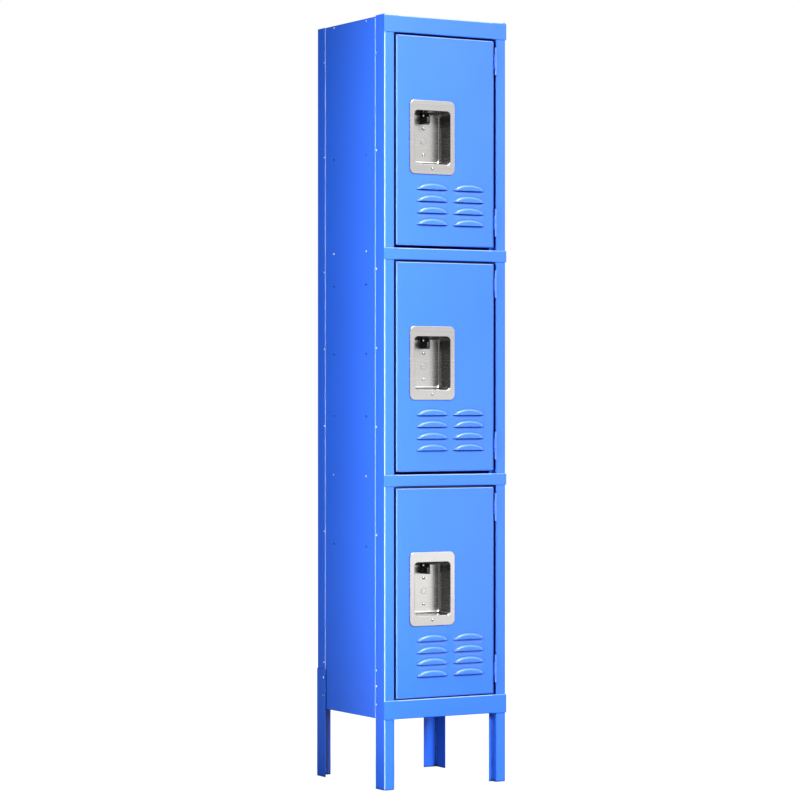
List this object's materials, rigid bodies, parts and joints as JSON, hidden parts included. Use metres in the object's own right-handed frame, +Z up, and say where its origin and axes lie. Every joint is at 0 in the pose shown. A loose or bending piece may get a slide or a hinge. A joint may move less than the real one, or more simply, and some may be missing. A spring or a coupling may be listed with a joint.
{
  "type": "locker cabinet",
  "caption": "Tall narrow steel locker cabinet on legs, with stacked louvered doors on side hinges, recessed handle cups and lift latches.",
  "frame": {"origin": "on the floor, at the middle of the overall width and depth", "axes": "+Z up, +Y to the back, +X to the right seen from the front; the doors face -Y"},
  "size_m": [0.3144, 0.3046, 1.676],
  "materials": {
    "blue_paint": "smooth powder coat, satin",
    "stainless_steel": "brushed",
    "black_nylon": "fine moulded texture",
    "zinc_steel": "zinc plated",
    "black_rubber": "matt"
  },
  "bodies": {
    "cabinet": {"front_post_left": "blue_paint", "front_post_right": "blue_paint", "side_panel_left": "blue_paint", "side_panel_right": "blue_paint", "rear_leg_left": "blue_paint", "rear_leg_right": "blue_paint", "back_panel": "blue_paint", "top_panel": "blue_paint", "shelf_upper": "blue_paint", "shelf_lower": "blue_paint", "compartment_floor": "blue_paint", "top_rail": "blue_paint", "mid_rail_upper": "blue_paint", "mid_rail_lower": "blue_paint", "bottom_rail": "blue_paint", "strike_top": "zinc_steel", "door_bumper_top": "black_rubber", "frame_leaf_top_upper": "blue_paint", "hinge_pin_top_upper": "blue_paint", "frame_leaf_top_lower": "blue_paint", "hinge_pin_top_lower": "blue_paint", "strike_middle": "zinc_steel", "door_bumper_middle": "black_rubber", "frame_leaf_middle_upper": "blue_paint", "hinge_pin_middle_upper": "blue_paint", "frame_leaf_middle_lower": "blue_paint", "hinge_pin_middle_lower": "blue_paint", "strike_bottom": "zinc_steel", "door_bumper_bottom": "black_rubber", "frame_leaf_bottom_upper": "blue_paint", "hinge_pin_bottom_upper": "blue_paint", "frame_leaf_bottom_lower": "blue_paint", "hinge_pin_bottom_lower": "blue_paint"},
    "door_top": {"door_panel_top": "blue_paint", "handle_cup_top": "stainless_steel", "lock_blank_top": "stainless_steel", "padlock_hasp_top": "black_nylon", "latch_guide_top": "zinc_steel", "door_leaf_top_upper": "blue_paint", "door_leaf_top_lower": "blue_paint"},
    "latch_top": {"latch_lever_top": "black_nylon"},
    "door_middle": {"door_panel_middle": "blue_paint", "handle_cup_middle": "stainless_steel", "lock_blank_middle": "stainless_steel", "padlock_hasp_middle": "black_nylon", "latch_guide_middle": "zinc_steel", "door_leaf_middle_upper": "blue_paint", "door_leaf_middle_lower": "blue_paint"},
    "latch_middle": {"latch_lever_middle": "black_nylon"},
    "door_bottom": {"door_panel_bottom": "blue_paint", "handle_cup_bottom": "stainless_steel", "lock_blank_bottom": "stainless_steel", "padlock_hasp_bottom": "black_nylon", "latch_guide_bottom": "zinc_steel", "door_leaf_bottom_upper": "blue_paint", "door_leaf_bottom_lower": "blue_paint"},
    "latch_bottom": {"latch_lever_bottom": "black_nylon"}
  },
  "joints": [
    {"name": "door_top_hinge", "type": "hinge", "parent": "cabinet", "child": "door_top", "pos_m": [0.1284, -0.14885, 1.4071], "axis": [0, 0, 1], "range_deg": [0, 160]},
    {"name": "latch_top_lift", "type": "slide", "parent": "door_top", "child": "latch_top", "axis": [0, 0, 1], "range_m": [0, 0.008], "stiffness_N_per_m": 60, "springref_m": -0.004},
    {"name": "door_middle_hinge", "type": "hinge", "parent": "cabinet", "child": "door_middle", "pos_m": [0.1284, -0.14885, 0.9154], "axis": [0, 0, 1], "range_deg": [0, 160]},
    {"name": "latch_middle_lift", "type": "slide", "parent": "door_middle", "child": "latch_middle", "axis": [0, 0, 1], "range_m": [0, 0.008], "stiffness_N_per_m": 60, "springref_m": -0.004},
    {"name": "door_bottom_hinge", "type": "hinge", "parent": "cabinet", "child": "door_bottom", "pos_m": [0.1284, -0.14885, 0.4237], "axis": [0, 0, 1], "range_deg": [0, 160]},
    {"name": "latch_bottom_lift", "type": "slide", "parent": "door_bottom", "child": "latch_bottom", "axis": [0, 0, 1], "range_m": [0, 0.008], "stiffness_N_per_m": 60, "springref_m": -0.004}
  ]
}
